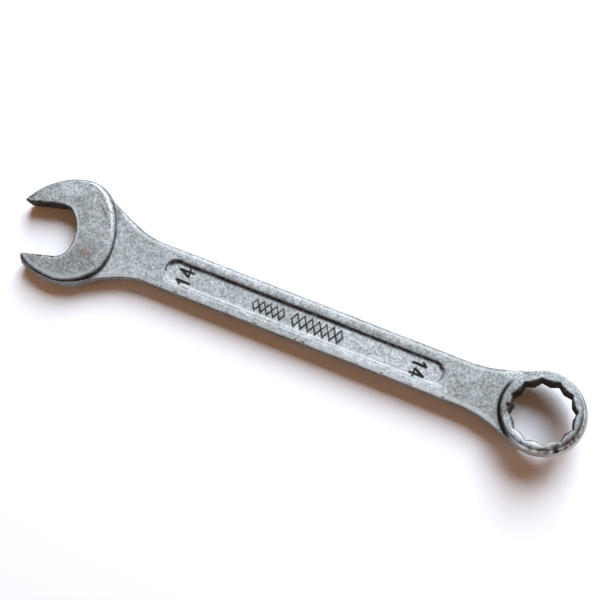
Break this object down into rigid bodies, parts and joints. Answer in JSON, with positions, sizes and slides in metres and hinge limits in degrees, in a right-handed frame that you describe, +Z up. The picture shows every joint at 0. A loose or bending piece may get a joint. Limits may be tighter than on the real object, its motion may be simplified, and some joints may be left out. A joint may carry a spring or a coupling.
{
  "type": "combination wrench",
  "caption": "Forged hand wrench with an angled open jaw at one end and a raised 12-point ring at the other, for turning hexagon nuts and bolts.",
  "frame": {"origin": "centre of the open jaw, where the middle of a nut sits, on the forging's mid-plane", "axes": "+X along the shank towards the ring, +Z up and along the jaw's turning axis, +Y across the shank towards the longer jaw"},
  "size_m": [0.1552, 0.0293, 0.014],
  "materials": {
    "forged_steel": "satin grey plating over a forged, lightly pitted surface"
  },
  "bodies": {
    "root": {"forged_wrench": "forged_steel"}
  },
  "joints": []
}
